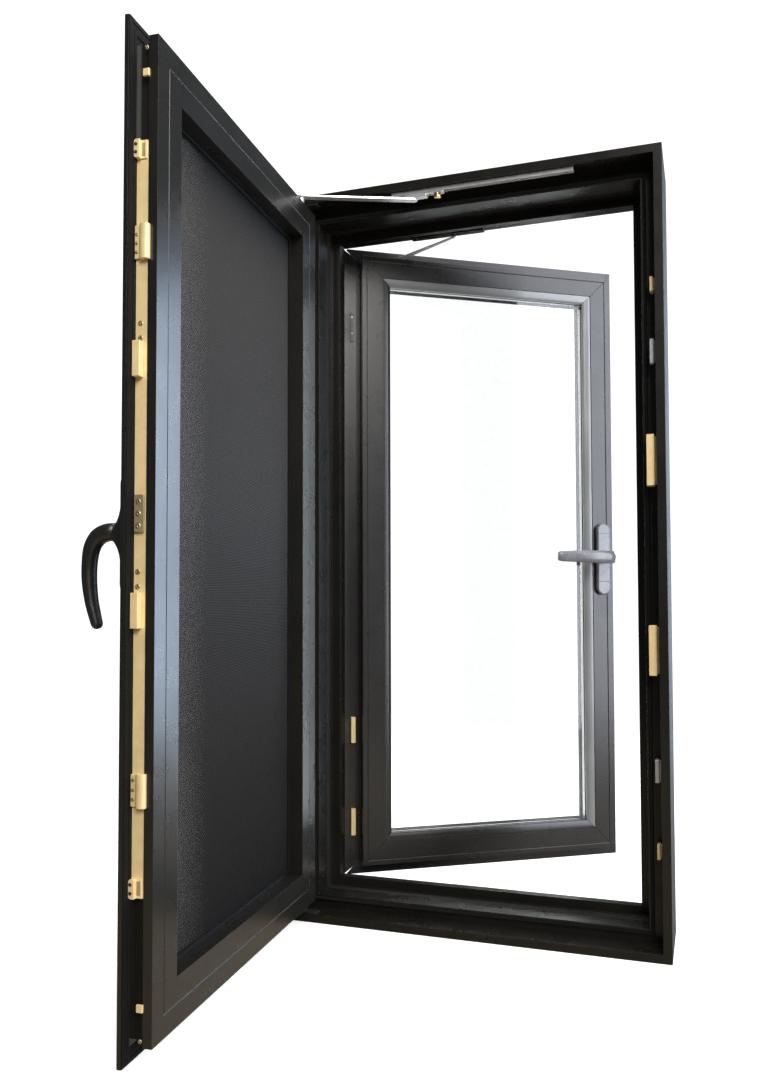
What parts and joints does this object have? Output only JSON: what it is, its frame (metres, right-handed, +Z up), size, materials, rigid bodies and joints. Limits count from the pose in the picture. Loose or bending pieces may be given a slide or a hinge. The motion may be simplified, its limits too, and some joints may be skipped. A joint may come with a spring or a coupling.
{
  "type": "casement window with mesh sash",
  "caption": "Bronze-black aluminium casement window with an outward-opening double-glazed sash and an inward-opening security mesh sash, each with a lever handle.",
  "frame": {"origin": "centre of the underside of the sill, which rests on the wall opening", "axes": "+X to the right seen from the room, +Y outwards, +Z up; at rest the mesh sash stands 86.4 degrees open into the room and the glazed sash 34 degrees open to the outside"},
  "size_m": [0.7287, 1.1787, 1.4],
  "materials": {
    "frame_aluminium": "satin bronze-black powder coat",
    "sash_aluminium": "satin bronze-black powder coat with a faint metallic fleck",
    "nylon_strip": "glass-filled polyamide",
    "rubber_seal": "matt EPDM",
    "zinc_hardware": "pale yellow zinc plate",
    "stainless_hardware": "brushed stainless steel",
    "mesh_wire": "black coated stainless wire cloth",
    "brass_knob": "turned brass",
    "black_handle": "satin black",
    "grey_handle": "satin silver grey",
    "window_glass": "clear float glass",
    "spacer_bar": "mill aluminium"
  },
  "bodies": {
    "frame": {"frame_head_inner": "frame_aluminium", "frame_head_outer": "frame_aluminium", "frame_sill_inner": "frame_aluminium", "frame_sill_outer": "frame_aluminium", "frame_hinge_jamb_inner": "frame_aluminium", "frame_hinge_jamb_outer": "frame_aluminium", "frame_lock_jamb_inner": "frame_aluminium", "frame_lock_jamb_outer": "frame_aluminium", "thermal_break": "nylon_strip", "mesh_closing_gasket": "rubber_seal", "keeper_upper": "zinc_hardware", "keeper_lower": "zinc_hardware", "pivot_plate_top": "stainless_hardware", "pivot_plate_bottom": "stainless_hardware", "stay_track": "stainless_hardware", "glazed_stay_track": "stainless_hardware", "glazed_hinge_top_frame_leaf": "frame_aluminium", "glazed_hinge_bottom_frame_leaf": "frame_aluminium", "glazed_hinge_top_pin": "stainless_hardware", "glazed_hinge_bottom_pin": "stainless_hardware"},
    "mesh_sash": {"mesh_top_rail": "sash_aluminium", "mesh_bottom_rail": "sash_aluminium", "mesh_hinge_stile": "sash_aluminium", "mesh_lock_stile": "sash_aluminium", "mesh_spline": "rubber_seal", "security_mesh": "mesh_wire", "mesh_hinge_arm_top": "stainless_hardware", "mesh_hinge_arm_bottom": "stainless_hardware", "mesh_gearbox_cover": "zinc_hardware", "mesh_roller_bracket_upper": "zinc_hardware", "mesh_roller_bracket_lower": "zinc_hardware", "mesh_handle_base": "black_handle"},
    "mesh_rod": {"mesh_drive_rod": "zinc_hardware", "mesh_rod_claw_top": "zinc_hardware", "mesh_rod_claw_bottom": "zinc_hardware", "mesh_lock_block_upper": "zinc_hardware", "mesh_lock_block_lower": "zinc_hardware"},
    "mesh_handle": {"mesh_handle_lever": "black_handle"},
    "stay_slider": {"stay_slider": "stainless_hardware"},
    "stay_knob": {"stay_friction_knob": "brass_knob"},
    "stay_arm": {"stay_arm": "stainless_hardware"},
    "glazed_sash": {"glazed_top_rail": "sash_aluminium", "glazed_bottom_rail": "sash_aluminium", "glazed_hinge_stile": "sash_aluminium", "glazed_lock_stile": "sash_aluminium", "glazing_bead_top": "sash_aluminium", "glazing_bead_bottom": "sash_aluminium", "glazing_bead_hinge": "sash_aluminium", "glazing_bead_lock": "sash_aluminium", "glazing_gasket": "rubber_seal", "glass_pane_inner": "window_glass", "glass_pane_outer": "window_glass", "glass_spacer": "spacer_bar", "glazed_handle_base": "grey_handle", "glazed_hinge_top_sash_leaf": "sash_aluminium", "glazed_hinge_bottom_sash_leaf": "sash_aluminium"},
    "glazed_rod": {"glazed_drive_rod": "zinc_hardware"},
    "glazed_handle": {"glazed_handle_lever": "grey_handle"},
    "glazed_stay": {"glazed_stay_arm": "stainless_hardware"}
  },
  "joints": [
    {"name": "mesh_sash_hinge", "type": "hinge", "parent": "frame", "child": "mesh_sash", "pos_m": [-0.325, -0.076, 0.7], "axis": [0, 0, 1], "range_deg": [-3.6, 86.4]},
    {"name": "mesh_handle_turn", "type": "hinge", "parent": "mesh_sash", "child": "mesh_handle", "pos_m": [-0.2965, -0.67239, 0.703], "axis": [0.998, 0.0628, 0], "range_deg": [0, 90]},
    {"name": "mesh_rod_slide", "type": "slide", "parent": "mesh_sash", "child": "mesh_rod", "axis": [0, 0, 1], "range_m": [-0.0182, 0]},
    {"name": "stay_slider_slide", "type": "slide", "parent": "frame", "child": "stay_slider", "axis": [1, 0, 0], "range_m": [-0.00301, 0.06768]},
    {"name": "stay_arm_turn", "type": "hinge", "parent": "stay_slider", "child": "stay_arm", "pos_m": [-0.103, -0.0695, 1.368], "axis": [0, 0, 1], "range_deg": [-27.7, 1.6]},
    {"name": "stay_knob_turn", "type": "hinge", "parent": "stay_slider", "child": "stay_knob", "pos_m": [-0.056, -0.0695, 1.369], "axis": [0, 0, 1], "range_deg": [-90, 90]},
    {"name": "glazed_sash_hinge", "type": "hinge", "parent": "frame", "child": "glazed_sash", "pos_m": [-0.33, 0.102, 0.7], "axis": [0, 0, 1], "range_deg": [-34, 26]},
    {"name": "glazed_handle_turn", "type": "hinge", "parent": "glazed_sash", "child": "glazed_handle", "pos_m": [0.19087, 0.38844, 0.703], "axis": [-0.5592, 0.829, 0], "range_deg": [-90, 0]},
    {"name": "glazed_rod_slide", "type": "slide", "parent": "glazed_sash", "child": "glazed_rod", "axis": [0, 0, 1], "range_m": [-0.0182, 0]},
    {"name": "glazed_stay_turn", "type": "hinge", "parent": "glazed_sash", "child": "glazed_stay", "pos_m": [-0.20018, 0.15507, 1.3465], "axis": [0, 0, 1], "range_deg": [-50, 65.2]}
  ],
  "couplings": [
    {"joint": "mesh_rod_slide", "follows": "mesh_handle_turn", "m_per_rad": -0.011459},
    {"joint": "stay_slider_slide", "follows": "mesh_sash_hinge", "m_per_rad": 0.044751},
    {"joint": "stay_arm_turn", "follows": "mesh_sash_hinge", "ratio": -0.3151},
    {"joint": "glazed_rod_slide", "follows": "glazed_handle_turn", "m_per_rad": 0.011459},
    {"joint": "glazed_stay_turn", "follows": "glazed_sash_hinge", "ratio": -1.9}
  ]
}
